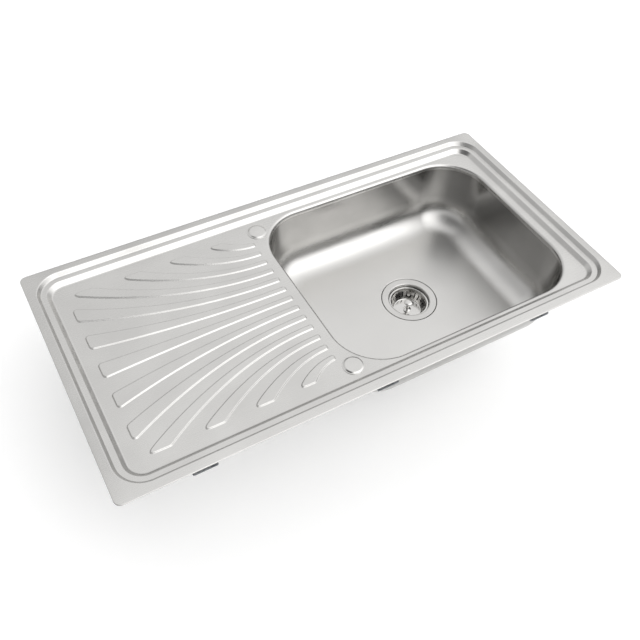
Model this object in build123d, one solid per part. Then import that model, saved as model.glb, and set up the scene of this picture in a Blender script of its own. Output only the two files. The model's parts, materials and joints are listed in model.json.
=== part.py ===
from build123d import *
import os
from math import atan2, cos, degrees, hypot, radians, sin, tan

# Inset kitchen sink with a ribbed drainer on the left and one bowl on the right.
# Millimetres. Z = 0 is the worktop's top face, X runs along the sink towards the bowl,
# Y runs to the back, and the origin is the centre of the rim's outline.

# Rim pressing
sink_length = 1000.0
sink_width = 500.0
outer_corner = 12.0
sheet = 0.8
edge_height = 1.6  # top of the turned-down outer edge
crown_inset = 15.0  # outer edge to the top of the flange
crown_height = 3.4
crown_corner = 50.5  # plan radius of the crown line
step_one = (16.5, 21.5)  # insets where the first step down starts and ends
ledge_level = -4.5
step_two = (31.5, 39.0)
deck_level = -13.0
deck_inset = 42.0  # outer edge to the flat deck, past the last bend
crown_bend = 2.4
ledge_bend = 2.2
deck_bend = 5.0

# Drainer ribs: a fan of flat-topped pads that widens away from the bowl
rib_side_count = 6  # ribs on each side of the middle one
rib_half = 6.6  # half width of the middle ribs' feet at the narrow end
rib_gap = 21.0  # bowl's mouth to the ribs' narrow ends
fan_end_margin = 61.0  # rim's outer edge to the ribs' wide ends
fan_side_margin = 65.0  # rim's outer edge to the fan's sides
fan_shoulder = 32.6  # fan's side to the last rib's middle line, at the narrow end
fan_corner_room = 24.0  # a rib that ends in the fan's corner is cut straight across below this
fan_length = 280.0  # distance in which a rib's offset doubles
fan_free = 0.432  # share of the fan's half width past which the ribs bend more sharply
fan_tighten = 2.82  # how fast they do
rib_height = 2.2
rib_slope = 3.2  # plan width of a rib's sloping side
rib_start_corner = 4.6
rib_end_corner = 8.0

# Bowl
bowl_length = 501.0
bowl_side_margin = 50.0  # rim's outer edge to the bowl's mouth, front and back
bowl_end_margin = 56.0
bowl_corner = 92.0
bowl_depth = 150.0  # below the deck
bowl_roll = 7.0  # radius of the rolled upper edge
roll_land = 0.5  # flat part round the roll
roll_skirt = 4.0  # straight part under the roll, down to the weld
bowl_draft = 2.5  # degrees
bowl_floor_fillet = 58.0

# Waste, its seat in the bowl's floor and the parts that clamp round it
waste_shift = 10.5  # from the bowl's centre
seat_radius = 59.0
seat_drop = 3.0
seat_slope = 1.5
seat_bend = 1.4
waste_hole = 45.0
gasket_thick = 1.2
flange_radius = 57.0
flange_sheet = 1.0
cup_radius = 42.5
cup_depth = 36.0
cup_straight = 14.0  # upright part of the cup's wall below its flange
cup_floor_radius = 34.0
cup_bend = 3.0
cup_slot_count = 8
cup_slot_ring = (11.0, 19.0)
cup_slot_width = 5.0
body_gasket_thick = 2.5
body_radius = 56.0
body_ring_thick = 3.5
body_inner = 45.0
body_wall = 2.5
body_depth = 40.0  # from the ring's top to the funnel
funnel_drop = 12.0
outlet_bore = 19.5
outlet_wall = 3.0
outlet_length = 48.0
thread_radius = 23.9
thread_length = 16.0
gusset_count = 8
gusset_thick = 2.5
gusset_drop = 20.0  # height of a gusset under the ring
hub_radius = 8.0
hub_length = 24.0
hub_web_count = 3
hub_web_thick = 2.5
clamp_screw_radius = 4.0
clamp_screw_length = 22.0
clamp_head_radius = 8.0
clamp_head_height = 1.9
screw_slot_width = 1.2
screw_slot_depth = 0.9
screw_fit = 0.08  # radial clearance round every screw's shank

# Lift-out basket
basket_floor_radius = 30.0
basket_mouth_radius = 38.0
basket_rim_radius = 41.3
basket_height = 26.0
basket_sheet = 0.8
basket_bend = 2.5
basket_slot_count = 24
basket_slot_width = 2.6
basket_slot_height = 13.0
basket_slot_base = 5.5  # above the basket's floor
seal_ring = (21.0, 29.0)
seal_thick = 2.5
knob_foot_radius = 8.0
knob_foot_height = 2.0
knob_stem_radius = 3.2
knob_radius = 9.0
knob_height = 27.0
knob_cap = 5.0

# Tap holes and their covers
tap_end_gap = 2.5  # bowl's mouth to the tap hole's centre
tap_side_margin = 68.0  # rim's outer edge to the tap hole's centre
tap_radius = 17.5
cover_radius = 19.5
cover_edge = 0.8
cover_height = 3.0
plug_gap = 0.5
plug_disc = 2.0
plug_wall = 1.6
plug_length = 9.0
plug_slot_count = 4
plug_slot_width = 2.5

# Overflow in the bowl's drainer-side wall
overflow_drop = 36.0  # below the deck
overflow_radius = 14.0
rose_radius = 23.0
rose_land = 3.0
rose_height = 3.4
rose_sheet = 1.0
rose_slot_count = 10
rose_slot_ring = (7.0, 15.5)
rose_slot_width = 2.8
rose_screw_radius = 2.5
rose_head_radius = 4.6
rose_head_height = 2.2
rose_screw_length = 14.0
overflow_gasket_thick = 2.0
elbow_flange = 3.0
elbow_bore = 15.0
elbow_wall = 2.2
elbow_depth = 23.0
elbow_boss = 5.0
spigot_drop = 34.0  # overflow's centre to the spigot's end
pipe_bore = 9.0
pipe_wall = 1.5
pipe_slip = 0.1  # radial clearance of the push fits
pipe_grip = 14.0  # length of the push fits
pipe_bend = 38.0
pipe_below_floor = 31.0  # pipe's centre line under the bowl's floor
socket_wall = 2.6
socket_reach = 24.0  # body's axis wall to the socket's mouth
nut_wall = 3.0
nut_length = 15.0
nut_end = 2.5
nut_grip_count = 8
nut_grip = 1.6
washer_thick = 2.0

# Seal and sound-deadening pads
seal_inset = 2.6
seal_width = 7.5
pad_thick = 3.0
pad_length = 84.0
pad_width = 190.0
pad_corner = 12.0
pad_gap = 22.0  # from the waste's underside ring

# Worktop clips
worktop_thick = 38.0
clip_end_gap = 160.0  # rim's end to the outer clips of a long side
clip_inset = 26.6  # rim's outer edge to the clips
lug_length = 26.0
lug_width = 7.4
lug_thick = 1.5
lug_boss_radius = 3.7
lug_boss_height = 7.0
clip_screw_radius = 2.5
clip_thread_reach = 7.5
clip_head_radius = 4.8
clip_head_height = 3.2
dog_reach = 36.0
dog_tail = 8.0
dog_width = 13.0
dog_thick = 2.0
dog_toe = 5.0
dog_corner = 3.0
dog_gap = 2.0  # toe to the worktop's underside before tightening
dog_hole_gap = 0.25

half_length = sink_length / 2
half_width = sink_width / 2
bowl_width = sink_width - 2 * bowl_side_margin
bowl_end = half_length - bowl_end_margin
bowl_start = bowl_end - bowl_length
bowl_centre = (bowl_start + bowl_end) / 2
waste_x = bowl_centre + waste_shift
tap_x = bowl_start - tap_end_gap
tap_y = half_width - tap_side_margin
rib_start = bowl_start - rib_gap
fan_end = fan_end_margin - half_length
fan_half_width = half_width - fan_side_margin
rib_pitch = (fan_half_width - fan_shoulder) / rib_side_count  # at the narrow ends
clip_spacing = half_length - clip_end_gap
bowl_floor = deck_level - bowl_depth
weld_level = deck_level - bowl_roll - roll_skirt
seat_level = bowl_floor - seat_drop
flange_under = seat_level + gasket_thick
flange_top = flange_under + flange_sheet
cup_floor = flange_top - cup_depth
body_top = seat_level - sheet - body_gasket_thick
hub_top = cup_floor - flange_sheet
pipe_level = bowl_floor - pipe_below_floor
full_turn = 360.0
half_turn = 180.0
quarter_turn = 90.0


def mirror_pair(value):
    return (-value, value)


def rounded(length, width, corner, level=0.0):
    """Face of a rectangle with rounded corners, at a height."""
    return Pos(0, 0, level) * RectangleRounded(length, width, corner)


def block(length, width, corner, low, high):
    return extrude(rounded(length, width, corner, low), amount=high - low)


def tube(outer, inner, low, high):
    wall = Cylinder(outer, high - low) - Cylinder(inner, high - low)
    return Pos(0, 0, (low + high) / 2) * wall


def disc(radius, low, high):
    return Pos(0, 0, (low + high) / 2) * Cylinder(radius, high - low)


def sheet_band(points, bends, thickness):
    """Section of a bent sheet whose face towards the right-hand side of the points is offset."""
    line = FilletPolyline(*points, radius=bends)
    return make_face(offset(line, amount=thickness, side=Side.RIGHT))


def turned(section):
    """Solid of revolution about Z of a section drawn as (radius, height)."""
    return revolve(Plane.XZ * section, axis=Axis.Z)


def dome_arc(radius, edge, top):
    """Arc of a dome centred on Z, from its edge to its top."""
    rise = top - edge
    sphere = (radius**2 + rise**2) / (2 * rise)
    centre = top - sphere
    start = degrees(atan2(edge - centre, radius))
    return CenterArc((0, centre), sphere, start, quarter_turn - start)


def carried_round(section, length, width, corner):
    """Carries a section round a rounded rectangle: bars along the sides, quarter turns at the corners.

    The section is drawn as (distance out from the corner's centre, height).
    """
    ring = []
    upright = Plane.XZ * section
    x_centre = length / 2 - corner
    y_centre = width / 2 - corner
    quarter = revolve(upright, axis=Axis.Z, revolution_arc=quarter_turn)
    for turn, x_sign, y_sign in ((0, 1, 1), (1, -1, 1), (2, -1, -1), (3, 1, -1)):
        ring.append(Pos(x_sign * x_centre, y_sign * y_centre) * Rot(0, 0, turn * quarter_turn) * quarter)
    side = extrude(upright, amount=y_centre, both=True)
    front = extrude(upright, amount=x_centre, both=True)
    for turn in (0, 2):
        ring.append(Rot(0, 0, turn * quarter_turn) * Pos(x_centre, 0) * side)
        ring.append(Rot(0, 0, (turn + 1) * quarter_turn) * Pos(y_centre, 0) * front)
    return ring[0].fuse(*ring[1:])


def rim_corner(inset):
    """Plan radius of the stepped rim at an inset, concentric with the crown's corners."""
    return crown_corner - (inset - crown_inset)


def rim_outline(inset, corner, level):
    return rounded(sink_length - 2 * inset, sink_width - 2 * inset, corner, level)


def flange_hill(drop):
    """Everything under the flange's top face, lowered by a drop."""
    edge = rim_outline(0, outer_corner, edge_height - drop)
    crown = rim_outline(crown_inset, crown_corner, crown_height - drop)
    hill = loft([edge, crown], ruled=True)
    foot = extrude(rim_outline(0, outer_corner, edge_height - drop), amount=-edge_height)
    return hill + foot


def flange_ring():
    """Gently rising outer flange with its turned-down edge."""
    window = rim_outline(crown_inset, crown_corner, -edge_height)
    window = extrude(window, amount=crown_height + 2 * edge_height)
    slope = flange_hill(0) - flange_hill(sheet) - window
    lip = extrude(rim_outline(0, outer_corner, 0), amount=edge_height)
    lip -= extrude(rim_outline(sheet, outer_corner - sheet, 0), amount=edge_height)
    return slope + lip


def stepped_rim():
    """Crown, first step, ledge, second step and the bend into the deck."""
    levels = (
        (crown_inset, crown_height),
        (step_one[0], crown_height),
        (step_one[1], ledge_level),
        (step_two[0], ledge_level),
        (step_two[1], deck_level),
        (deck_inset, deck_level),
    )
    points = [(rim_corner(inset), level) for inset, level in levels]
    section = sheet_band(points[::-1], (deck_bend, ledge_bend, ledge_bend, crown_bend), sheet)
    length = sink_length - 2 * crown_inset
    width = sink_width - 2 * crown_inset
    return carried_round(section, length, width, crown_corner)


def doubling_length(offset_at_start):
    """Distance in which the offset of one rib's edge doubles, shorter towards the fan's sides."""
    past = max(0.0, abs(offset_at_start) / fan_half_width - fan_free)
    return fan_length * (1 - fan_tighten * past**2)


def rib_edge(offset_at_start, distance):
    """Offset from the middle line of one rib's edge, at a distance from the narrow end."""
    return offset_at_start * (1 + (distance / doubling_length(offset_at_start)) ** 2)


def edge_distance(offset_at_start):
    """Distance from the narrow end at which an edge reaches the fan's side."""
    return doubling_length(offset_at_start) * (fan_half_width / abs(offset_at_start) - 1) ** 0.5


def rib_foot(index):
    """Face of one rib's foot: two bowed edges that end at the fan's end or side, and rounded corners."""
    span = rib_start - fan_end
    ends = []
    curves = []
    for offset_at_start in (index * rib_pitch + rib_half, index * rib_pitch - rib_half):
        reach = span
        if abs(offset_at_start) > rib_pitch / 2:
            reach = min(span, edge_distance(offset_at_start))
        distances = (0, reach / 2, reach)
        arc = [(rib_start - distance, rib_edge(offset_at_start, distance)) for distance in distances]
        ends.append((arc[0], arc[2]))
        curves.append(ThreePointArc(*arc))
    (outer_start, outer_end), (inner_start, inner_end) = ends
    curves.append(Line(outer_start, inner_start))
    if min(outer_end[0] - fan_end, fan_half_width - inner_end[1]) > fan_corner_room:
        curves.append(Polyline(outer_end, (fan_end, fan_half_width), inner_end))
    else:
        curves.append(Line(outer_end, inner_end))
    face = make_face(curves)
    far_ends = (outer_end, inner_end)
    near = face.vertices().filter_by(lambda v: v.X > rib_start - rib_start_corner)
    face = fillet(near, rib_start_corner)
    far = [v for v in face.vertices() if any(hypot(v.X - x, v.Y - y) < sheet for x, y in far_ends)]
    return fillet(far, rib_end_corner)


def rib_pad(index):
    """Sloping-sided pad of one rib, standing on the deck."""
    outline = rib_foot(index)
    foot = Pos(0, 0, deck_level) * outline
    top = Pos(0, 0, deck_level + rib_height) * offset(outline, amount=-rib_slope)
    return loft([foot, top], ruled=True)


def drainer_ribs():
    pads = [rib_pad(index) for index in range(rib_side_count + 1)]
    return pads + [mirror(pad, about=Plane.XZ) for pad in pads[1:]]


def bowl_edge():
    """Rolled edge that leads from the deck down to the bowl's weld."""
    top = (bowl_corner + bowl_roll + roll_land, deck_level)
    corner = (bowl_corner, deck_level)
    foot = (bowl_corner, weld_level)
    section = sheet_band((foot, corner, top), (bowl_roll,), sheet)
    return Pos(bowl_centre, 0) * carried_round(section, bowl_length, bowl_width, bowl_corner)


def tap_locations():
    return [Pos(tap_x, y) for y in mirror_pair(tap_y)]


def drainer_deck():
    """The one top pressing: flange, stepped rim, ribbed deck, tap holes and the bowl's rolled edge."""
    roll_reach = bowl_roll + roll_land
    plate = block(
        sink_length - 2 * deck_inset,
        sink_width - 2 * deck_inset,
        rim_corner(deck_inset),
        deck_level - sheet,
        deck_level,
    )
    mouth = block(
        bowl_length + 2 * roll_reach,
        bowl_width + 2 * roll_reach,
        bowl_corner + roll_reach,
        deck_level - bowl_roll,
        deck_level + bowl_roll,
    )
    plate -= Pos(bowl_centre, 0) * mouth
    for place in tap_locations():
        plate -= place * disc(tap_radius, deck_level - bowl_roll, deck_level + bowl_roll)
    pads = drainer_ribs()
    plate = plate.fuse(*pads)
    plate = plate.cut(*[Pos(0, 0, -sheet) * pad for pad in pads])
    return plate.fuse(bowl_edge(), stepped_rim(), flange_ring())


def bowl_shape(grow):
    """Space inside the bowl, or the bowl's outside when grown by the sheet."""
    mouth = rounded(bowl_length + 2 * grow, bowl_width + 2 * grow, bowl_corner + grow, weld_level)
    floor = bowl_floor - grow
    shape = extrude(mouth, amount=floor - weld_level, taper=bowl_draft)
    rim = shape.faces().sort_by(Axis.Z)[0].edges()
    return Pos(bowl_centre, 0) * fillet(rim, bowl_floor_fillet + grow)


def waste_seat():
    """Recess pressed into the bowl's floor for the waste's flange."""
    points = (
        (seat_radius + seat_drop, bowl_floor),
        (seat_radius, bowl_floor),
        (seat_radius - seat_slope, seat_level),
        (waste_hole, seat_level),
    )
    return Pos(waste_x, 0) * turned(sheet_band(points[::-1], (seat_bend, seat_bend), sheet))


def wall_x(level):
    """Inner face of the bowl's drainer-side wall at a height."""
    return bowl_centre - bowl_length / 2 + (weld_level - level) * tan(radians(bowl_draft))


def overflow_plane():
    """Plane on the wall's inner face at the overflow, its normal pointing into the bowl."""
    level = deck_level - overflow_drop
    lean = radians(bowl_draft)
    return Plane(origin=(wall_x(level), 0, level), x_dir=(0, 1, 0), z_dir=(cos(lean), 0, sin(lean)))


def bowl():
    shell = bowl_shape(sheet) - bowl_shape(0)
    shell -= Pos(waste_x, 0) * disc(seat_radius + seat_drop, bowl_floor - 2 * sheet, bowl_floor + sheet)
    shell -= overflow_plane().location * disc(overflow_radius, -2 * sheet, 2 * sheet)
    return shell + waste_seat()


def rim_seal():
    """Foam strip between the flange and the worktop."""
    outer = rim_outline(seal_inset, outer_corner, 0)
    inner_inset = seal_inset + seal_width
    inner = rim_outline(inner_inset, outer_corner + seal_width, 0)
    strip = extrude(outer, amount=crown_height) - extrude(inner, amount=crown_height)
    return strip & flange_hill(sheet)


def sound_pad(side):
    """Bitumen pad under the bowl's floor, on one side of the waste."""
    gap = body_radius + pad_gap + pad_length / 2
    top = bowl_floor - sheet
    return Pos(waste_x + side * gap, 0) * block(pad_length, pad_width, pad_corner, top - pad_thick, top)


def flange_gasket():
    inner = cup_radius + cup_bend + gasket_thick
    return Pos(waste_x, 0) * tube(flange_radius - gasket_thick, inner, seat_level, flange_under)


def radial_slots(count, ring, width, low, high):
    """Slots with round ends, set out round Z between two radii."""
    length = ring[1] - ring[0]
    slot = Pos((ring[0] + ring[1]) / 2, 0, low) * SlotOverall(length, width)
    cutter = extrude(slot, amount=high - low)
    return [Rot(0, 0, turn * full_turn / count) * cutter for turn in range(count)]


def strainer_flange():
    """Stainless waste cup: flange, throat, cone and a slotted floor round the clamp screw."""
    points = (
        (flange_radius, flange_top),
        (cup_radius, flange_top),
        (cup_radius, flange_top - cup_straight),
        (cup_floor_radius, cup_floor),
        (clamp_screw_radius + screw_fit, cup_floor),
    )
    cup = turned(sheet_band(points[::-1], (cup_bend, cup_bend, cup_bend), flange_sheet))
    slots = radial_slots(
        cup_slot_count, cup_slot_ring, cup_slot_width, cup_floor - cup_bend, cup_floor + flange_sheet
    )
    return Pos(waste_x, 0) * cup.cut(*slots)


def body_gasket():
    top = seat_level - sheet
    return Pos(waste_x, 0) * tube(body_radius, waste_hole, body_top, top)


def body_hub():
    """Boss that takes the clamp screw, on webs across the outlet."""
    hub = disc(hub_radius, hub_top - hub_length, hub_top)
    web_low = hub_top - hub_length
    web_high = body_top - body_depth - funnel_drop
    web_reach = outlet_bore + body_wall / 2
    web = Box(web_reach, hub_web_thick, web_high - web_low)
    web = Pos(web_reach / 2, 0, (web_high + web_low) / 2) * web
    for turn in range(hub_web_count):
        hub += Rot(0, 0, turn * full_turn / hub_web_count) * web
    return hub - disc(clamp_screw_radius + screw_fit, hub_top - hub_length + body_wall, hub_top)


def socket_frame():
    """Axis of the overflow's inlet, pointing out of the body towards the pipe."""
    return Plane(origin=(0, 0, pipe_level), x_dir=(0, 1, 0), z_dir=(-1, 0, 0)).location


def waste_body():
    """Moulded body under the bowl: ring, cup, funnel, threaded outlet and overflow inlet."""
    ring_low = body_top - body_ring_thick
    cup_low = body_top - body_depth
    funnel_low = cup_low - funnel_drop
    outlet_low = funnel_low - outlet_length
    cup_outer = body_inner + body_wall
    outlet_outer = outlet_bore + outlet_wall
    outside = (
        (0, body_top),
        (body_radius, body_top),
        (body_radius, ring_low),
        (cup_outer, ring_low),
        (cup_outer, cup_low),
        (outlet_outer, funnel_low),
        (outlet_outer, outlet_low + thread_length),
        (thread_radius, outlet_low + thread_length),
        (thread_radius, outlet_low),
        (0, outlet_low),
    )
    inside = (
        (0, body_top),
        (body_inner, body_top),
        (body_inner, cup_low + body_wall),
        (outlet_bore, funnel_low),
        (outlet_bore, outlet_low),
        (0, outlet_low),
    )
    body = turned(make_face(Polyline(*outside, close=True)))
    root = body_inner + body_wall / 2
    corners = ((root, ring_low), (body_radius, ring_low), (root, ring_low - gusset_drop))
    fin = Plane.XZ * make_face(Polyline(*corners, close=True))
    fin = extrude(fin, amount=gusset_thick / 2, both=True)
    gap = full_turn / gusset_count
    for turn in range(gusset_count):
        body += Rot(0, 0, turn * gap + gap / 2) * fin
    socket_bore = pipe_bore + pipe_wall + pipe_slip
    mouth = cup_outer + socket_reach
    body += socket_frame() * disc(socket_bore + socket_wall, 0, mouth)
    body -= turned(make_face(Polyline(*inside, close=True)))
    body -= socket_frame() * disc(socket_bore, mouth - pipe_grip, mouth)
    body -= socket_frame() * disc(pipe_bore, 0, mouth)
    return Pos(waste_x, 0) * (body + body_hub())


def slotted_head(radius, height, top):
    """Flat screw head with a driver slot in its upper face."""
    head = disc(radius, top - height, top)
    groove = Box(2 * radius, screw_slot_width, screw_slot_depth)
    return head - Pos(0, 0, top - screw_slot_depth / 2) * groove


def clamp_screw():
    """Screw that draws the waste's cup and body together."""
    shank = disc(clamp_screw_radius, cup_floor - clamp_screw_length, cup_floor)
    head = slotted_head(clamp_head_radius, clamp_head_height, cup_floor + clamp_head_height)
    return Pos(waste_x, 0) * (shank + head)


def basket():
    """Lift-out strainer basket: plain floor, slotted wall and a rim."""
    floor = cup_floor + seal_thick + basket_sheet
    lip = floor + basket_height
    points = (
        (0, floor),
        (basket_floor_radius, floor),
        (basket_mouth_radius, lip),
        (basket_rim_radius, lip),
    )
    cup = turned(sheet_band(points, (basket_bend, basket_bend / 2), basket_sheet))
    slot = Plane.YZ * SlotOverall(basket_slot_height, basket_slot_width, rotation=quarter_turn)
    cutter = extrude(slot, amount=basket_rim_radius)
    cutter = Pos(0, 0, floor + basket_slot_base + basket_slot_height / 2) * cutter
    turns = [turn * full_turn / basket_slot_count for turn in range(basket_slot_count)]
    return Pos(waste_x, 0) * cup.cut(*[Rot(0, 0, turn) * cutter for turn in turns])


def basket_seal():
    """Rubber ring under the basket that closes the waste when the basket is down."""
    return Pos(waste_x, 0) * tube(seal_ring[1], seal_ring[0], cup_floor, cup_floor + seal_thick)


def basket_knob():
    """Turned lifting knob on the basket's floor."""
    foot = cup_floor + seal_thick + basket_sheet
    top = foot + knob_height
    neck = foot + knob_foot_height
    shoulder = top - knob_cap
    points = (
        (0, foot),
        (knob_foot_radius, foot),
        (knob_foot_radius, neck),
        (knob_stem_radius, neck + knob_foot_height),
        (knob_stem_radius, shoulder - knob_cap),
        (knob_radius, shoulder),
        (knob_radius, shoulder + knob_cap / 2),
    )
    crown = dome_arc(knob_radius, shoulder + knob_cap / 2, top)
    profile = make_face([Polyline(*points), crown, Line((0, top), (0, foot))])
    return Pos(waste_x, 0) * turned(profile)


def tap_cover():
    """Domed steel disc that covers an unused tap hole."""
    edge = deck_level + cover_edge
    top = deck_level + cover_height
    rise = dome_arc(cover_radius, edge, top)
    sides = Polyline((0, top), (0, deck_level), (cover_radius, deck_level), (cover_radius, edge))
    return turned(make_face([rise, sides]))


def tap_plug():
    """Plastic plug under the cover, with a split skirt that grips the hole."""
    outer = tap_radius - plug_gap
    low = deck_level - plug_length
    plug = disc(outer, low, deck_level)
    plug -= disc(outer - plug_wall, low, deck_level - plug_disc)
    for turn in range(plug_slot_count // 2):
        gap = Box(2 * tap_radius, plug_slot_width, plug_length - 2 * plug_disc)
        place = Pos(0, 0, low + (plug_length - 2 * plug_disc) / 2)
        plug -= Rot(0, 0, turn * full_turn / plug_slot_count) * place * gap
    return plug


def overflow_rose():
    """Dished cover with radial slots inside the bowl."""
    hollow = rose_radius - rose_land
    points = (
        (rose_screw_radius + screw_fit, rose_height),
        (hollow - rose_height, rose_height),
        (hollow, rose_sheet),
        (rose_radius, rose_sheet),
    )
    cover = turned(sheet_band(points, (rose_sheet * 2, rose_sheet * 1.5), rose_sheet))
    slots = radial_slots(rose_slot_count, rose_slot_ring, rose_slot_width, 0, 2 * rose_height)
    return overflow_plane().location * cover.cut(*slots)


def overflow_screw():
    shank = disc(rose_screw_radius, rose_height - rose_screw_length, rose_height)
    head = slotted_head(rose_head_radius, rose_head_height, rose_height + rose_head_height)
    return overflow_plane().location * (shank + head)


def overflow_gasket():
    high = -sheet
    ring = tube(rose_radius, elbow_bore, high - overflow_gasket_thick, high)
    return overflow_plane().location * ring


def spigot_depth():
    """Distance from the wall's inner face back to the spigot's axis."""
    return sheet + overflow_gasket_thick + elbow_depth / 2 + elbow_wall


def overflow_elbow():
    """Moulded elbow behind the wall: flange, chamber, screw boss and spigot."""
    high = -sheet - overflow_gasket_thick
    back = high - elbow_depth
    chamber = elbow_bore + elbow_wall
    elbow = disc(rose_radius, high - elbow_flange, high) + disc(chamber, back, high)
    down = Plane(origin=(0, 0, -spigot_depth()), x_dir=(1, 0, 0), z_dir=(0, -1, 0)).location
    elbow += down * disc(pipe_bore - pipe_slip, 0, spigot_drop)
    elbow -= disc(elbow_bore, back + elbow_wall, high)
    elbow -= down * disc(pipe_bore - elbow_wall, 0, spigot_drop)
    boss = disc(elbow_boss, back, high)
    screw_tip = rose_height - rose_screw_length
    boss -= disc(rose_screw_radius + screw_fit, screw_tip - sheet, high)
    return overflow_plane().location * (elbow + boss)


def pipe_route():
    """Centre line of the overflow pipe, from the elbow's spigot down and under the bowl."""
    plane = overflow_plane()
    start = plane.from_local_coords(Vector(0, pipe_grip - spigot_drop, -spigot_depth()))
    fall = plane.y_dir * -1
    turn = start + fall * ((pipe_level - start.Z) / fall.Z)
    mouth = waste_x - body_inner - body_wall - socket_reach
    end = Vector(mouth + pipe_grip, 0, pipe_level)
    return FilletPolyline(start, turn, end, radius=pipe_bend)


def overflow_pipe():
    route = pipe_route()
    start = Plane(origin=route @ 0, z_dir=route % 0)
    outer = sweep(start * Circle(pipe_bore + pipe_wall), path=route)
    inner = sweep(start * Circle(pipe_bore), path=route)
    return outer - inner


def overflow_washer():
    outer = pipe_bore + pipe_wall + pipe_slip
    mouth = body_inner + body_wall + socket_reach
    ring = tube(outer + socket_wall, outer, mouth, mouth + washer_thick)
    return Pos(waste_x, 0) * socket_frame() * ring


def overflow_nut():
    """Nut that clamps the pipe into the body's socket."""
    inner = pipe_bore + pipe_wall + pipe_slip
    thread = inner + socket_wall + pipe_slip
    end = body_inner + body_wall + socket_reach + washer_thick
    nut = disc(thread + nut_wall, end + nut_end - nut_length, end + nut_end)
    for turn in range(nut_grip_count):
        ridge = Pos(thread + nut_wall, 0, end + nut_end - nut_length / 2) * Cylinder(nut_grip, nut_length)
        nut += Rot(0, 0, turn * full_turn / nut_grip_count) * ridge
    nut -= disc(thread, end - nut_length, end)
    nut -= disc(inner, end, end + nut_end)
    return Pos(waste_x, 0) * socket_frame() * nut


def clip_places():
    """Centre and heading of each worktop clip: three along the front and back, one at each end."""
    long_side = half_width - clip_inset
    short_side = half_length - clip_inset
    places = []
    for y, heading in ((-long_side, half_turn), (long_side, 0)):
        for x in (-clip_spacing, 0, clip_spacing):
            places.append(Pos(x, y) * Rot(0, 0, heading))
    places.append(Pos(-short_side, 0) * Rot(0, 0, quarter_turn))
    places.append(Pos(short_side, 0) * Rot(0, 0, -quarter_turn))
    return places


def clip_lug():
    """Strip welded under the ledge, with a threaded boss for the clip's screw."""
    top = ledge_level - sheet
    lug = block(lug_length, lug_width, lug_width / 4, top - lug_thick, top)
    lug += disc(lug_boss_radius, top - lug_thick - lug_boss_height, top)
    bore = clip_screw_radius + screw_fit
    return lug - disc(bore, top - lug_thick - lug_boss_height, top - sheet)


def dog_top():
    """Upper face of the clip's bar."""
    return -worktop_thick - dog_gap - dog_toe


def clip_screw():
    """Screw hanging from the lug, whose head carries the clip's bar."""
    seat = dog_top() - dog_thick
    tip = ledge_level - sheet - lug_thick - lug_boss_height + clip_thread_reach
    shank = disc(clip_screw_radius, seat, tip)
    head = slotted_head(clip_head_radius, clip_head_height, seat)
    return shank + Pos(0, 0, 2 * seat - clip_head_height) * Rot(half_turn, 0, 0) * head


def clip_dog():
    """Bar with a turned-up toe that grips under the worktop. It lies along the rim at rest."""
    length = dog_reach + dog_tail
    top = dog_top()
    bar = block(length, dog_width, dog_corner, top - dog_thick, top)
    toe = Box(dog_thick, dog_width - 2 * dog_corner, dog_toe)
    toe = Pos(length / 2 - dog_thick / 2, 0, top + dog_toe / 2) * toe
    bar = Pos(length / 2 - dog_tail, 0) * (bar + toe)
    return bar - disc(clip_screw_radius + dog_hole_gap, top - 2 * dog_thick, top + dog_toe)


def write(name, shape):
    solids = shape.solids()
    whole = solids[0] if len(solids) == 1 else Compound(children=solids)
    export_step(whole, os.path.join("parts", f"{name}.step"))


def main():
    os.makedirs("parts", exist_ok=True)
    write("drainer_deck", drainer_deck())
    write("bowl", bowl())
    write("rim_seal", rim_seal())
    write("sound_pad_left", sound_pad(-1))
    write("sound_pad_right", sound_pad(1))
    write("flange_gasket", flange_gasket())
    write("strainer_flange", strainer_flange())
    write("body_gasket", body_gasket())
    write("waste_body", waste_body())
    write("clamp_screw", clamp_screw())
    write("basket", basket())
    write("basket_seal", basket_seal())
    write("basket_knob", basket_knob())
    for side, place in zip(("front", "back"), tap_locations()):
        write(f"tap_cover_{side}", place * tap_cover())
        write(f"tap_plug_{side}", place * tap_plug())
    write("overflow_rose", overflow_rose())
    write("overflow_screw", overflow_screw())
    write("overflow_gasket", overflow_gasket())
    write("overflow_elbow", overflow_elbow())
    write("overflow_pipe", overflow_pipe())
    write("overflow_washer", overflow_washer())
    write("overflow_nut", overflow_nut())
    for number, place in enumerate(clip_places(), start=1):
        write(f"clip_lug_{number}", place * clip_lug())
        write(f"clip_screw_{number}", place * clip_screw())
        write(f"clip_dog_{number}", place * clip_dog())


main()
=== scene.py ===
import json
import math
import bmesh
import bpy
from mathutils import Matrix, Vector


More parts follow.
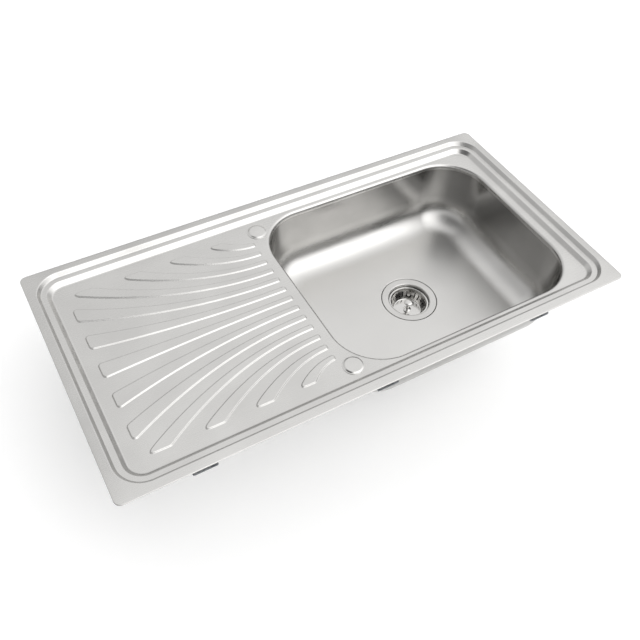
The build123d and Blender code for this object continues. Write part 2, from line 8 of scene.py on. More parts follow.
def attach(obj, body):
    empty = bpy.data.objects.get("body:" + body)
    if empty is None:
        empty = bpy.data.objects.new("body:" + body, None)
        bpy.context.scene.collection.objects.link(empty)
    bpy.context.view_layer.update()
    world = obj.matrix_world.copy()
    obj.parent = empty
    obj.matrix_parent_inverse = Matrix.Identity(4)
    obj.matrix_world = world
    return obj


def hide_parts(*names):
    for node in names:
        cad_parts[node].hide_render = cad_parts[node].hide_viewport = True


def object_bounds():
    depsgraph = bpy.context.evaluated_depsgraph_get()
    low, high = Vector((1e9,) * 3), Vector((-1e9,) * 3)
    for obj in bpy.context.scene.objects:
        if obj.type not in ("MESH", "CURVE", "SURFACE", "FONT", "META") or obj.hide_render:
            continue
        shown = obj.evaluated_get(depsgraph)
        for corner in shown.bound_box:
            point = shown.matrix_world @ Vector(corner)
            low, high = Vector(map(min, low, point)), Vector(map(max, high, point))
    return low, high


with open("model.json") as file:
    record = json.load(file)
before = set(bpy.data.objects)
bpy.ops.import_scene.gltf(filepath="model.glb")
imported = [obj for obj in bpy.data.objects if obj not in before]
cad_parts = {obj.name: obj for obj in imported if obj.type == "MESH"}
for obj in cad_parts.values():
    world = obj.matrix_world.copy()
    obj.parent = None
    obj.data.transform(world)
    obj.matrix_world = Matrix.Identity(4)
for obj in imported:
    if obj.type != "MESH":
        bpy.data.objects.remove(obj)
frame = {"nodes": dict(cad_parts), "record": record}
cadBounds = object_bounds()
mm = 0.001
print("frame loaded:", len(frame["nodes"]), "nodes")


def linear(hexColour):  # sRGB hex to the linear colour that a node expects
    values = [int(hexColour[i:i + 2], 16) / 255 for i in (0, 2, 4)]
    return [v / 12.92 if v <= 0.04045 else ((v + 0.055) / 1.055) ** 2.4 for v in values] + [1.0]


def feed(tree, node, inputs):  # by name, by number or in order: each input gets a value or a link
    pairs = inputs.items() if isinstance(inputs, dict) else enumerate(inputs)
    for key, value in pairs:
        if isinstance(value, bpy.types.NodeSocket):
            tree.links.new(value, node.inputs[key])
        else:
            node.inputs[key].default_value = value


def addNode(tree, kind, inputs=(), **settings):  # settings come first, because some of them change the inputs
    node = tree.nodes.new(kind)
    for name, value in settings.items():
        setattr(node, name, value)
    feed(tree, node, inputs)
    return node


def startMaterial(name, hexColour, metallic, roughness, sockets=None):
    material = bpy.data.materials.new(name)
    material.use_nodes = True
    tree = material.node_tree
    shader = tree.nodes["Principled BSDF"]
    feed(tree, shader, {"Base Color": linear(hexColour), "Metallic": metallic, "Roughness": roughness})
    feed(tree, shader, sockets or {})
    return material, tree, shader


def patternAt(tree, kind, sizes, offset=(0, 0, 0), **inputs):
    # a texture on the piece itself, drawn at the real size of its features along x, y and z in mm
    place = addNode(tree, "ShaderNodeTexCoord").outputs["Object"]
    scale = [1 / (size * mm) for size in sizes]
    mapped = addNode(tree, "ShaderNodeMapping", {"Vector": place, "Scale": scale, "Location": offset})
    return addNode(tree, kind, {"Vector": mapped.outputs[0], "Scale": 1.0, **inputs}).outputs


noiseRange = (0.3, 0.7)  # most of a noise texture lies between these two values

# what every stainless finish shares: grain, patches left by wiping, and the faint wave that the press leaves
steel = {
    "grainDetail": 3.0, "grainRoughness": 0.03,
    "patchSizes": (90, 70, 60), "patchOffset": (3.1, 1.7, 0.4), "patchDetail": 4.0,
    "patchRoughness": (-0.03, 0.04),
    "waveSize": 60, "waveDetail": 1.0, "waveDepth": 0.08,
}


def makeSteel(name, hexColour, darker, roughness, grainSizes, grainDepth, groundAndPaintedLight=None):
    material, tree, shader = startMaterial(name, hexColour, 1.0, roughness)
    grain = patternAt(tree, "ShaderNodeTexNoise", grainSizes, Detail=steel["grainDetail"])["Fac"]
    offset, detail = steel["patchOffset"], steel["patchDetail"]
    patches = patternAt(tree, "ShaderNodeTexNoise", steel["patchSizes"], offset, Detail=detail)["Fac"]
    least, most = (roughness + change for change in steel["patchRoughness"])
    total = addNode(tree, "ShaderNodeMapRange", (patches, *noiseRange, least, most)).outputs[0]
    share = addNode(tree, "ShaderNodeMapRange", (patches, *noiseRange, 0.0, 1.0)).outputs[0]
    colours = {"Factor": share, 6: linear(hexColour), 7: linear(darker)}
    tint = addNode(tree, "ShaderNodeMix", colours, data_type="RGBA").outputs[2]
    if groundAndPaintedLight:  # below a band of heights the sheet is ground again, which makes it rougher, and its colour is painted paler there, a painted light on the floor
        place = addNode(tree, "ShaderNodeTexCoord").outputs["Object"]
        height = addNode(tree, "ShaderNodeSeparateXYZ", (place,)).outputs["Z"]
        band = [level * mm for level in groundAndPaintedLight["band"]]
        change = groundAndPaintedLight["roughness"] - roughness
        extra = addNode(tree, "ShaderNodeMapRange", (height, *band, change, 0.0)).outputs[0]
        total = addNode(tree, "ShaderNodeMath", (total, extra), operation="ADD").outputs[0]
        # painted light and shade: lower down the colour turns paler, a painted light on the floor, while the
        # walls keep a colour darkened as painted shade
        low = addNode(tree, "ShaderNodeMapRange", (height, *band, 1.0, 0.0)).outputs[0]
        colours = {"Factor": low, 6: tint, 7: linear(groundAndPaintedLight["colour"])}
        tint = addNode(tree, "ShaderNodeMix", colours, data_type="RGBA").outputs[2]
    change = steel["grainRoughness"]
    lines = addNode(tree, "ShaderNodeMapRange", (grain, *noiseRange, -change, change)).outputs[0]
    total = addNode(tree, "ShaderNodeMath", (total, lines), operation="ADD").outputs[0]
    waves = patternAt(tree, "ShaderNodeTexNoise", (steel["waveSize"],) * 3, Detail=steel["waveDetail"])["Fac"]
    wave = addNode(tree, "ShaderNodeBump", {"Height": waves, "Distance": steel["waveDepth"] * mm}).outputs[0]
    skin = addNode(tree, "ShaderNodeBump", {"Height": grain, "Distance": grainDepth * mm, "Normal": wave})
    feed(tree, shader, {"Base Color": tint, "Roughness": total, "Normal": skin.outputs[0]})
    return material


# what everything that isn't metal shares: a skin of small cells, and slow changes of tone
moulded = {"detail": 3.0, "toneSize": 28, "toneOffset": (2.3, 0.9, 1.4), "roughness": 0.05}


def makeMoulded(name, hexColour, other, roughness, cellSize, cellDepth, sockets=None):
    material, tree, shader = startMaterial(name, hexColour, 0.0, roughness, sockets)
    detail, toneSizes = moulded["detail"], (moulded["toneSize"],) * 3
    cells = patternAt(tree, "ShaderNodeTexNoise", (cellSize,) * 3, Detail=detail)["Fac"]
    tones = patternAt(tree, "ShaderNodeTexNoise", toneSizes, moulded["toneOffset"], Detail=detail)["Fac"]
    share = addNode(tree, "ShaderNodeMapRange", (tones, *noiseRange, 0.0, 1.0)).outputs[0]
    colours = {"Factor": share, 6: linear(hexColour), 7: linear(other)}
    tint = addNode(tree, "ShaderNodeMix", colours, data_type="RGBA").outputs[2]
    least, most = roughness - moulded["roughness"], roughness + moulded["roughness"]
    total = addNode(tree, "ShaderNodeMapRange", (cells, *noiseRange, least, most)).outputs[0]
    skin = addNode(tree, "ShaderNodeBump", {"Height": cells, "Distance": cellDepth * mm}).outputs[0]
    feed(tree, shader, {"Base Color": tint, "Roughness": total, "Normal": skin})
    return material


def makeZinc(name, hexColour, other, roughness, change, spangle):
    # the plate keeps the crystals that it set in: small facets, some darker and duller than others
    material, tree, shader = startMaterial(name, hexColour, 1.0, roughness)
    facets = patternAt(tree, "ShaderNodeTexVoronoi", (spangle,) * 3)["Color"]
    facet = addNode(tree, "ShaderNodeSeparateXYZ", (facets,)).outputs["X"]
    colours = {"Factor": facet, 6: linear(hexColour), 7: linear(other)}
    tint = addNode(tree, "ShaderNodeMix", colours, data_type="RGBA").outputs[2]
    limits = (roughness - change, roughness + change)
    total = addNode(tree, "ShaderNodeMapRange", (facet, 0.0, 1.0, *limits)).outputs[0]
    feed(tree, shader, {"Base Color": tint, "Roughness": total})
    return material


# sizes are in mm; grain and cells finer than the picture's pixels are drawn as coarse as they need to show
materials = {
    # stainless sheet, belt ground along the sink: a soft sheen with faint lines, no sharp reflections
    "steelDeck": makeSteel(
        "steelDeckSatinGround", "CCCBC9", "C5C4C2", 0.27, grainSizes=(30, 0.4, 0.4), grainDepth=0.002),
    # deep-drawn stainless: bright walls that mirror the room, their colour darkened as painted shade, and a
    # floor ground satin and even, its colour painted paler as painted light
    "steelBowl": makeSteel(
        "steelBowlDeepDrawn", "ABAAA8", "A3A2A0", 0.12, grainSizes=(0.8, 0.8, 25), grainDepth=0.0015,
        groundAndPaintedLight={"roughness": 0.38, "colour": "D0CFCD", "band": (-150, -95)}),
    # small turned and pressed stainless parts, polished after pressing: crisp light and dark shapes
    "steelWaste": makeSteel(
        "steelWastePolished", "CFCECC", "C6C5C3", 0.12, grainSizes=(1.2, 1.2, 1.2), grainDepth=0.001),
    # the waste's pressed stainless flange, ground satin: as soft a sheen as the floor round it
    "steelFlange": makeSteel(
        "steelFlangeSatinPressed", "CFCECC", "C8C7C5", 0.36, grainSizes=(1.5, 1.5, 1.5), grainDepth=0.001),
    # folded steel, bright zinc plated: a cool grey with a fine spangle
    "zinc": makeZinc("zincPlatedSteel", "A6A8AB", "8E9195", 0.36, change=0.08, spangle=2.2),
    # rubber from a steel mould: near black, dull, with a fine skin
    "rubber": makeMoulded("rubberMouldedBlack", "1C1C1D", "262627", 0.72, cellSize=0.6, cellDepth=0.01),
    # foamed strip with closed cells of about a millimetre, cut from sheet: dark, with no shine at all
    "foam": makeMoulded("foamClosedCell", "3A3A3C", "2E2E30", 0.9, cellSize=1.1, cellDepth=0.12),
    # rolled bitumen sheet: dark, greasy dull, with a lumpy face
    "bitumen": makeMoulded("bitumenRolledSheet", "242426", "2F2F30", 0.62, cellSize=3.5, cellDepth=0.15),
    # moulded polypropylene: warm white, half matt from a spark-eroded mould, and lets a little light in
    "plastic": makeMoulded(
        "polypropyleneMoulded", "DEDDD8", "D4D3CD", 0.42, cellSize=0.5, cellDepth=0.008,
        sockets={"Subsurface Weight": 0.08, "Subsurface Radius": (0.004, 0.003, 0.002)}),
    # moulded polyethylene: mid grey and half matt
    "plug": makeMoulded("polyethylenePlugMoulded", "555557", "4B4B4D", 0.5, cellSize=0.5, cellDepth=0.008),
}
print("materials made:", len(materials))


mergeGap = 0.01  # points this close, in mm, are one point
sharpAngle = 50  # a crease of this many degrees or more stays sharp


def bentLine(points, radii, steps=6):  # line of a bent sheet: its corners rounded, each by its own radius
    line = [Vector(points[0])]
    for before, corner, after, radius in zip(points, points[1:], points[2:], radii):
        into = (Vector(corner) - Vector(before)).normalized()
        out = (Vector(after) - Vector(corner)).normalized()
        turn = math.atan2(into.cross(out), into.dot(out))
        start = Vector(corner) - into * radius * math.tan(abs(turn) / 2)
        centre = start + Vector((-into.y, into.x)) * math.copysign(radius, turn)
        for step in range(steps + 1):
            line.append(centre + Matrix.Rotation(turn * step / steps, 2) @ (start - centre))
    line.append(Vector(points[-1]))
    return line


def wire(bm, points):
    verts = [bm.verts.new(Vector(point) * mm) for point in points]
    return verts + [bm.edges.new(pair) for pair in zip(verts, verts[1:])]


def onlyEdges(geometry):
    return [item for item in geometry if isinstance(item, bmesh.types.BMEdge)]


def onlyVerts(geometry):
    return [item for item in geometry if isinstance(item, bmesh.types.BMVert)]


def newEdges(geometry):  # the far edges of an extrusion, and their vertices
    verts = onlyVerts(geometry)
    return verts + [edge for edge in onlyEdges(geometry) if set(verts).issuperset(edge.verts)]


def openEdges(bm, height):  # edges at a height that still have only one face, or none
    level = [edge for edge in bm.edges if all(abs(vert.co.z / mm - height) < mergeGap for vert in edge.verts)]
    return [edge for edge in level if len(edge.link_faces) < 2]


def fillLevel(bm, height):
    edges = openEdges(bm, height)
    bmesh.ops.triangle_fill(bm, use_beauty=True, use_dissolve=False, edges=edges, normal=(0, 0, 1))


def carryRound(bm, profile, size, corner, steps, middle=0.0):
    # sweeps a profile, drawn as (out from the corner's centre, height), round a rounded rectangle
    x, y = size[0] / 2 - corner, size[1] / 2 - corner
    loose = wire(bm, [(middle + x + out, y, height) for out, height in profile])
    turns = ((1, 1), (-1, 1), (-1, -1), (1, -1))
    runs = ((-2 * x, 0, 0), (0, -2 * y, 0), (2 * x, 0, 0), (0, 2 * y, 0))
    for (xSign, ySign), run in zip(turns, runs):
        centre = Vector((middle + xSign * x, ySign * y, 0)) * mm
        spun = bmesh.ops.spin(bm, geom=loose, cent=centre, axis=(0, 0, 1), angle=math.pi / 2, steps=steps)
        loose = newEdges(bmesh.ops.extrude_edge_only(bm, edges=onlyEdges(spun["geom_last"]))["geom"])
        bmesh.ops.translate(bm, verts=onlyVerts(loose), vec=Vector(run) * mm)
    bmesh.ops.remove_doubles(bm, verts=bm.verts, dist=mergeGap * mm)


def spinRound(bm, profile, steps, centre=(0, 0)):  # turns a profile of (radius, height) into a ring
    x, y = centre
    line = wire(bm, [(x + radius, y, height) for radius, height in profile])
    middle = Vector((x, y, 0)) * mm
    bmesh.ops.spin(bm, geom=line, cent=middle, axis=(0, 0, 1), angle=2 * math.pi, steps=steps, use_merge=True)


def turnFacesUp(bm):  # for an open sheet, whose outside is the side that is seen from above
    bmesh.ops.recalc_face_normals(bm, faces=bm.faces)
    if sum(face.normal.z * face.calc_area() for face in bm.faces) < 0:
        bmesh.ops.reverse_faces(bm, faces=bm.faces)


def makePiece(bm, name, material, body, node, thickness=0.0):  # only an open sheet has a thickness
    bmesh.ops.remove_doubles(bm, verts=bm.verts, dist=mergeGap * mm)
    if thickness:
        turnFacesUp(bm)
    else:
        bmesh.ops.recalc_face_normals(bm, faces=bm.faces)
    for face in bm.faces:
        face.smooth = True
    for edge in bm.edges:  # an open edge is sharp too, or the sheet's cut edge would shade the flat beside it
        edge.smooth = edge.is_manifold and edge.calc_face_angle() < math.radians(sharpAngle)
    mesh = bpy.data.meshes.new(name)
    bm.to_mesh(mesh)
    bm.free()
    mesh.materials.append(materials[material])
    piece = bpy.data.objects.new(name, mesh)
    bpy.context.scene.collection.objects.link(piece)
    if thickness:
        sheet = piece.modifiers.new("sheet", "SOLIDIFY")
        sheet.thickness = thickness * mm
        sheet.offset = -1  # the whole thickness goes under the drawn face
    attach(piece, body)
    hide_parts(node)


# drainer deck: one pressing from the flange to the bowl's rolled edge. Its size, in mm, is that of the crown,
# and the flange goes round it
deck = {
    "size": (970, 470), "corner": 50.5, "edgeCorner": 12, "flange": 15, "sheet": 0.8, "steps": 40,
    "crown": 3.4, "edge": 1.6, "ledge": -4.5, "level": -13,
    "insets": (1.5, 6.5, 16.5, 24, 27), "bends": (2.4, 2.2, 2.2, 5.0),
    "fall": (0.06, 0.3, 0.6, 0.85),  # rings on the flange, from 0 at the crown to 1 at the edge
    "lip": ((1.2, 1.62), (0.55, 1.5), (0.15, 1.1), (0, 0.6), (0, 0)),  # the edge's rounding: (inset, height)
    "bowl": (501, 400), "bowlMiddle": 193.5, "bowlCorner": 92,
    "roll": 7, "rollSteps": 10, "land": 0.5, "weld": -24,
    "tap": (-59.5, 182), "tapRadius": 17.5, "tapSteps": 48,
}


def flangePoint(co, share, inset, height):
    # a point on the ray from the crown corner's centre: the flange's own corner is tighter than the crown's
    x, y = deck["size"][0] / 2 - deck["corner"], deck["size"][1] / 2 - deck["corner"]
    across, along = max(0, abs(co.x / mm) - x), max(0, abs(co.y / mm) - y)
    angle = math.atan2(along, across)
    cosine, sine = math.cos(angle), math.sin(angle)
    half = deck["corner"] + deck["flange"] - inset
    radius = deck["edgeCorner"] - inset
    core = half - radius
    if sine * half <= cosine * core:
        reach = half / cosine
    elif cosine * half <= sine * core:
        reach = half / sine
    else:
        reach = core * (cosine + sine) + math.sqrt(radius**2 - core**2 * (cosine - sine)**2)
    reach = deck["corner"] + share * (reach - deck["corner"])
    x, y = math.copysign(x + reach * cosine, co.x), math.copysign(y + reach * sine, co.y)
    return Vector((x, y, height)) * mm


def addRim(bm):
    levels = (deck["crown"], deck["crown"], deck["ledge"], deck["ledge"], deck["level"], deck["level"])
    outs = [deck["corner"] - inset for inset in (0,) + deck["insets"]]
    profile = bentLine(list(zip(outs, levels)), deck["bends"])
    carryRound(bm, profile, deck["size"], deck["corner"], deck["steps"])
    loop = openEdges(bm, deck["crown"])
    drop = deck["crown"] - deck["edge"]
    rings = [(share, 0, deck["crown"] - drop * share) for share in deck["fall"]]
    rings += [(1, inset, height) for inset, height in deck["lip"]]
    for share, inset, height in rings:
        grown = newEdges(bmesh.ops.extrude_edge_only(bm, edges=loop)["geom"])
        for vert in onlyVerts(grown):
            vert.co = flangePoint(vert.co, share, inset, height)
        loop = onlyEdges(grown)


# ribs: a fan of flat pads whose edges bow away from the middle line
ribs = {
    "side": 6, "pitch": 25.4, "half": 6.6, "start": -78, "end": -439, "fanHalf": 185,
    "length": 280, "free": 0.432, "tighten": 2.82,
    "rise": 2.2, "slope": 3.2, "slices": 9, "border": 0.3,  # a slope in slices, between two flat borders
    "nearRadius": 4.6, "farRadius": 8.0, "cornerSteps": 9,
    "chord": 9,  # about how long each straight piece of a bowed edge is
    "sight": 5,  # a corner's angle is taken from points this far along its sides
    "cornerRoom": 1.1,  # a bowed edge begins this many roundings away from its corner
}


def ribCurve(first):  # one edge: its reach, and its point at a distance from the narrow end
    past = max(0, abs(first) / ribs["fanHalf"] - ribs["free"])
    length = ribs["length"] * (1 - ribs["tighten"] * past**2)
    reach = ribs["start"] - ribs["end"]
    if abs(first) > ribs["pitch"] / 2:
        reach = min(reach, length * math.sqrt(ribs["fanHalf"] / abs(first) - 1))
    start, level = ribs["start"], deck["level"]
    return reach, lambda distance: Vector((start - distance, first * (1 + (distance / length)**2), level))


def cornerReach(corner, along, across, radius):  # how far a rounding of that radius runs along the two sides
    return radius / math.tan((along - corner).angle(across - corner) / 2)


def addRib(bm, index):
    curves = [ribCurve(index * ribs["pitch"] + half) for half in (ribs["half"], -ribs["half"])]
    nearEnds = [point(0) for reach, point in curves]
    farEnds = [point(reach) for reach, point in curves]
    sides, rounds = [], []
    for side, (reach, point) in enumerate(curves):
        near = cornerReach(nearEnds[side], point(ribs["sight"]), nearEnds[1 - side], ribs["nearRadius"])
        far = cornerReach(farEnds[side], point(reach - ribs["sight"]), farEnds[1 - side], ribs["farRadius"])
        first, last = near * ribs["cornerRoom"], reach - far * ribs["cornerRoom"]
        count = round((last - first) / ribs["chord"])
        between = [point(first + (last - first) * k / count) for k in range(count + 1)]
        sides.append([nearEnds[side]] + between + [farEnds[side]])
        rounds.append((near, far))
    verts = [bm.verts.new(point * mm) for point in sides[0] + sides[1][::-1]]
    bm.faces.new(verts)
    turn = len(sides[0])
    corners = (verts[0], verts[-1], verts[turn - 1], verts[turn])
    sizes = (rounds[0][0], rounds[1][0], rounds[0][1], rounds[1][1])
    steps = ribs["cornerSteps"]
    for vert, size in zip(corners, sizes):
        bmesh.ops.bevel(
            bm, geom=[vert], offset=size * mm, segments=steps, profile=0.5, affect="VERTICES", material=-1)


def addRibs(bm):
    before = set(bm.faces)
    for index in range(-ribs["side"], ribs["side"] + 1):
        addRib(bm, index)
    pads = [face for face in bm.faces if face not in before]
    for face in pads:
        face.normal_update()
        if face.normal.z < 0:
            face.normal_flip()
    slices, border = ribs["slices"], ribs["border"]
    heights = [ribs["rise"] * (1 - math.cos(math.pi * step / slices)) / 2 for step in range(slices + 1)]
    width = (ribs["slope"] - 2 * border) / slices
    slope = [(width, above - below) for below, above in zip(heights, heights[1:])]
    for wide, high in [(border, 0)] + slope + [(border, 0)]:
        bmesh.ops.inset_individual(bm, faces=pads, thickness=wide * mm, depth=high * mm, use_even_offset=True)


def addRoll(bm):  # the rolled edge that the bowl is welded to
    corner, roll, land = deck["bowlCorner"], deck["roll"], deck["land"]
    points = ((corner + roll + land, deck["level"]), (corner, deck["level"]), (corner, deck["weld"]))
    line = bentLine(points, (roll,), deck["rollSteps"])
    carryRound(bm, line, deck["bowl"], corner, deck["steps"], deck["bowlMiddle"])


def makeDeck():
    bm = bmesh.new()
    addRim(bm)
    addRoll(bm)
    x, y = deck["tap"]
    for side in (-1, 1):
        place = Matrix.Translation(Vector((x, side * y, deck["level"])) * mm)
        bmesh.ops.create_circle(bm, radius=deck["tapRadius"] * mm, segments=deck["tapSteps"], matrix=place)
    addRibs(bm)
    fillLevel(bm, deck["level"])  # the flat between the rim, the roll, the tap holes and the ribs
    makePiece(bm, "drainerPressing", "steelDeck", "sink", "drainer_deck", deck["sheet"])


makeDeck()
print("drainer pressing made")


# bowl: deep drawn, with the waste's seat pressed in its floor and the overflow's hole in the drainer's side
bowl = {
    "size": deck["bowl"], "middle": deck["bowlMiddle"], "corner": deck["bowlCorner"], "steps": deck["steps"],
    "top": deck["weld"], "straight": 0.6, "topBend": 20, "draft": 2.5,
    "floor": -163, "fillet": 58, "filletSteps": 14, "floorEdge": 1.5, "sheet": 0.8,
    "wasteX": 204, "seat": ((62, -163), (59, -163), (57.5, -166), (45, -166)),
    "seatBend": 1.4, "seatSteps": 96,
    "hole": (14, -49), "holeSteps": 40, "facing": 0.9,  # how squarely a face of the holed wall looks along +x
}


def cutOverflow(bm):  # replaces the wall's one long face by a face with a round hole
    radius, height = bowl["hole"]
    facing = [face for face in bm.faces if face.normal.x > bowl["facing"]]
    wall = max(facing, key=lambda face: face.calc_area())
    rim = list(wall.edges)
    lean = math.radians(bowl["draft"])
    x = bowl["middle"] - bowl["size"][0] / 2 + (bowl["top"] - bowl["straight"] - height) * math.tan(lean)
    place = Matrix.Translation(Vector((x, 0, height)) * mm) @ Matrix.Rotation(math.pi / 2 - lean, 4, "Y")
    hole = bmesh.ops.create_circle(bm, radius=radius * mm, segments=bowl["holeSteps"], matrix=place)["verts"]
    bmesh.ops.delete(bm, geom=[wall], context="FACES_ONLY")
    circle = list(dict.fromkeys(edge for vert in hole for edge in vert.link_edges))
    bmesh.ops.triangle_fill(bm, use_beauty=True, use_dissolve=False, edges=rim + circle, normal=(1, 0, 0))


def makeBowl():
    bm = bmesh.new()
    corner, floor, top = bowl["corner"], bowl["floor"], bowl["top"]
    shoulder = top - bowl["straight"]
    foot = corner - (shoulder - floor) * math.tan(math.radians(bowl["draft"]))
    inner = foot - bowl["fillet"] + bowl["floorEdge"]
    points = ((corner, top), (corner, shoulder), (foot, floor), (inner, floor))
    line = bentLine(points, (bowl["topBend"], bowl["fillet"]), bowl["filletSteps"])
    carryRound(bm, line, bowl["size"], corner, bowl["steps"], bowl["middle"])
    seat = bentLine(bowl["seat"], (bowl["seatBend"], bowl["seatBend"]))
    spinRound(bm, seat, bowl["seatSteps"], (bowl["wasteX"], 0))
    fillLevel(bm, floor)
    turnFacesUp(bm)
    cutOverflow(bm)
    makePiece(bm, "drawnBowl", "steelBowl", "sink", "bowl", bowl["sheet"])


makeBowl()
print("bowl made")


# tap-hole covers: a thin brim on the deck and a raised middle with a rounded edge
cover = {
    "radius": 19.5, "brim": 0.8, "foot": 18.0, "shoulder": 15.0, "top": 2.5, "crown": 2.8,
    "bends": (0.35, 1.5, 2.5), "steps": 64,
}


def makeCover(side, body, node, name):
    bm = bmesh.new()
    x, y = deck["tap"]
    radius, brim = cover["radius"], cover["brim"]
    middle = ((cover["foot"], brim), (cover["shoulder"], cover["top"]), (0, cover["crown"]))
    line = bentLine(((radius, 0), (radius, brim)) + middle, cover["bends"])
    profile = [(0, deck["level"])] + [(out, deck["level"] + height) for out, height in line]
    spinRound(bm, profile, cover["steps"], (x, side * y))
    makePiece(bm, name, "steelWaste", body, node)


makeCover(-1, "front_tap_cover", "tap_cover_front", "tapCoverFront")
makeCover(1, "back_tap_cover", "tap_cover_back", "tapCoverBack")
print("tap-hole covers made")


# the pieces that stay as they are in the frame take the finish of their own slot, or one that is their own
slotFinishes = {
    "steel_deck": "steelDeck", "steel_bowl": "steelBowl", "steel_waste": "steelWaste", "zinc": "zinc",
    "rubber": "rubber", "foam": "foam", "bitumen": "bitumen", "plastic": "plastic", "plug": "plug",
}
ownFinishes = {"strainer_flange": "steelFlange"}
for row in frame["record"]["subparts"]:
    finish = ownFinishes.get(row["node"], slotFinishes[row["material_slot"]])
    for materialSlot in frame["nodes"][row["node"]].material_slots:
        materialSlot.material = materials[finish]
print("finishes given to", len(frame["nodes"]), "nodes")


# studio: the room that the steel mirrors. An edge is where a light begins and where it is full, as the cosine
# of the angle to its middle, and a height is how far up, from 0 at the horizon to 1 overhead
studio = {
    "brightest": 2.6,
    "window": (0.64, -0.64, 0.42),  # towards the pale end of the gradient, at the front right
    "stops": ((0.0, 0.85), (0.25, 0.86), (0.38, 0.9), (0.47, 0.98), (0.55, 1.1),
              (0.62, 1.14), (0.7, 1.16), (0.86, 1.3), (0.95, 1.85), (1.0, 1.95)),
    # a brighter patch over the front
    "softbox": (0.15, -0.62, 0.77), "softboxEdge": (0.78, 0.93), "softboxLight": 0.6,
    # a soft dark patch high on the left, which gives the bowl's right wall its dark side
    "flag": (-0.68, -0.22, 0.70), "flagEdge": (0.74, 0.93), "flagHeight": (0.42, 0.58), "flagShare": 0.86,
    "horizonHeight": (0.02, 0.45), "horizonLight": 0.2,  # the light falls off towards the horizon
}


def setStudio():
    world = bpy.data.worlds.new("studio")
    bpy.context.scene.world = world
    world.use_nodes = True
    tree = world.node_tree
    brightest = studio["brightest"]
    direction = addNode(tree, "ShaderNodeTexCoord").outputs["Generated"]
    height = addNode(tree, "ShaderNodeSeparateXYZ", (direction,)).outputs["Z"]
    near = {}
    for name in ("window", "softbox", "flag"):
        aim = addNode(tree, "ShaderNodeVectorMath", (direction, studio[name]), operation="DOT_PRODUCT")
        near[name] = aim.outputs["Value"]
    place = addNode(tree, "ShaderNodeMapRange", (near["window"], -1.0, 1.0, 0.0, 1.0)).outputs[0]
    ramp = addNode(tree, "ShaderNodeValToRGB", (place,))
    ramp.color_ramp.interpolation = "LINEAR"
    while len(ramp.color_ramp.elements) < len(studio["stops"]):
        ramp.color_ramp.elements.new(0.5)
    for element, (position, level) in zip(ramp.color_ramp.elements, studio["stops"]):
        element.position = position
        element.color = (level / brightest, level / brightest, level / brightest, 1)
    glow = (near["softbox"], *studio["softboxEdge"], 0.0, studio["softboxLight"] / brightest)
    softbox = addNode(tree, "ShaderNodeMapRange", glow, interpolation_type="SMOOTHSTEP").outputs[0]
    lit = addNode(tree, "ShaderNodeMath", (ramp.outputs[0], softbox), operation="ADD").outputs[0]
    spread = (near["flag"], *studio["flagEdge"], 0.0, studio["flagShare"])
    across = addNode(tree, "ShaderNodeMapRange", spread, interpolation_type="SMOOTHSTEP").outputs[0]
    hang = (height, *studio["flagHeight"], 0.0, 1.0)
    hung = addNode(tree, "ShaderNodeMapRange", hang, interpolation_type="SMOOTHSTEP").outputs[0]
    covered = addNode(tree, "ShaderNodeMath", (across, hung), operation="MULTIPLY").outputs[0]
    flag = addNode(tree, "ShaderNodeMath", (1.0, covered), operation="SUBTRACT").outputs[0]
    fade = (height, *studio["horizonHeight"], studio["horizonLight"], 1.0)
    horizon = addNode(tree, "ShaderNodeMapRange", fade).outputs[0]
    shade = addNode(tree, "ShaderNodeMath", (flag, horizon), operation="MULTIPLY").outputs[0]
    light = addNode(tree, "ShaderNodeMath", (lit, shade), operation="MULTIPLY").outputs[0]
    rays = addNode(tree, "ShaderNodeLightPath").outputs
    plain = (rays["Is Camera Ray"], rays["Is Transmission Ray"])  # these see a plain white background
    seen = addNode(tree, "ShaderNodeMath", plain, operation="MAXIMUM").outputs[0]
    colours = {"Factor": seen, 6: light, 7: (1 / brightest, 1 / brightest, 1 / brightest, 1)}
    tone = addNode(tree, "ShaderNodeMix", colours, data_type="RGBA").outputs[2]
    feed(tree, tree.nodes["Background"], {"Color": tone, "Strength": brightest})


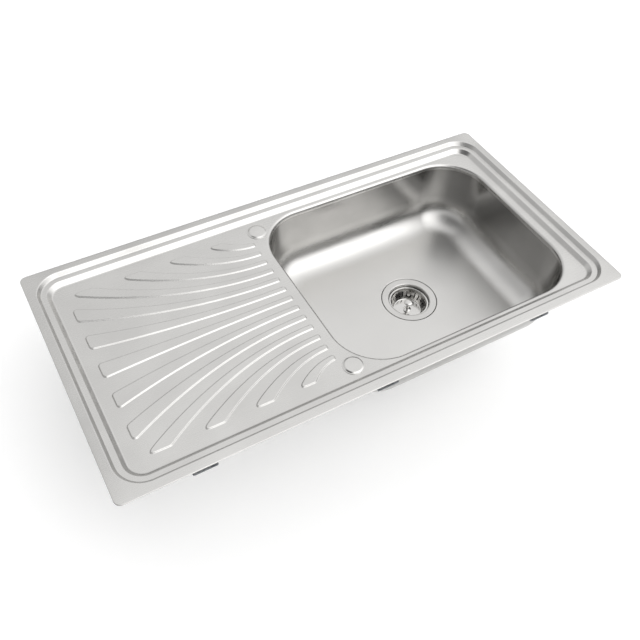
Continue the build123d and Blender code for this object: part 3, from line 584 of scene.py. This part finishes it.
# floor: paper, white to the eye and in reflections, with a little glow of its own, and pale grey where it
# throws light back up at the sink
paper = {"half": 6, "roughness": 0.9, "lit": "E0E0E0", "seen": "FFFFFF", "glow": 0.12}


def layPaper():
    bm = bmesh.new()
    bmesh.ops.create_grid(bm, x_segments=1, y_segments=1, size=paper["half"])
    mesh = bpy.data.meshes.new("studioFloor")
    bm.to_mesh(mesh)
    bm.free()
    floor = bpy.data.objects.new("studioFloor", mesh)
    floor.location.z = cadBounds[0][2]
    bpy.context.scene.collection.objects.link(floor)
    material, tree, shader = startMaterial("studioPaper", paper["seen"], 0.0, paper["roughness"])
    rays = addNode(tree, "ShaderNodeLightPath").outputs
    seen = rays["Is Camera Ray"]
    for other in ("Is Glossy Ray", "Is Transmission Ray"):
        seen = addNode(tree, "ShaderNodeMath", (seen, rays[other]), operation="MAXIMUM").outputs[0]
    colours = {"Factor": seen, 6: linear(paper["lit"]), 7: linear(paper["seen"])}
    tint = addNode(tree, "ShaderNodeMix", colours, data_type="RGBA").outputs[2]
    glow = addNode(tree, "ShaderNodeMath", (seen, paper["glow"]), operation="MULTIPLY").outputs[0]
    feed(tree, shader, {"Base Color": tint, "Emission Strength": glow, "Emission Color": (1, 1, 1, 1)})
    mesh.materials.append(material)


# camera: stands in front of the sink and to its left, and looks down on it; the last three rows are its axes
view = {
    "lens": 42.1485, "sensor": 36, "place": (-0.528455, -0.784058, 1.007530),
    "right": (0.86777498, -0.49426561, 0.05165363),
    "up": (0.35120812, 0.68348649, 0.63992115),
    "back": (-0.35159557, -0.53716638, 0.76670257),
}


def placeCamera():
    cameraData = bpy.data.cameras.new("camera")
    cameraData.lens = view["lens"]
    cameraData.sensor_width = view["sensor"]
    camera = bpy.data.objects.new("camera", cameraData)
    turn = Matrix((view["right"], view["up"], view["back"])).transposed().to_4x4()
    camera.matrix_world = Matrix.Translation(view["place"]) @ turn
    bpy.context.scene.collection.objects.link(camera)
    bpy.context.scene.camera = camera


setStudio()
layPaper()
placeCamera()
bpy.context.scene.view_settings.view_transform = "Standard"
print("studio, floor and camera set")
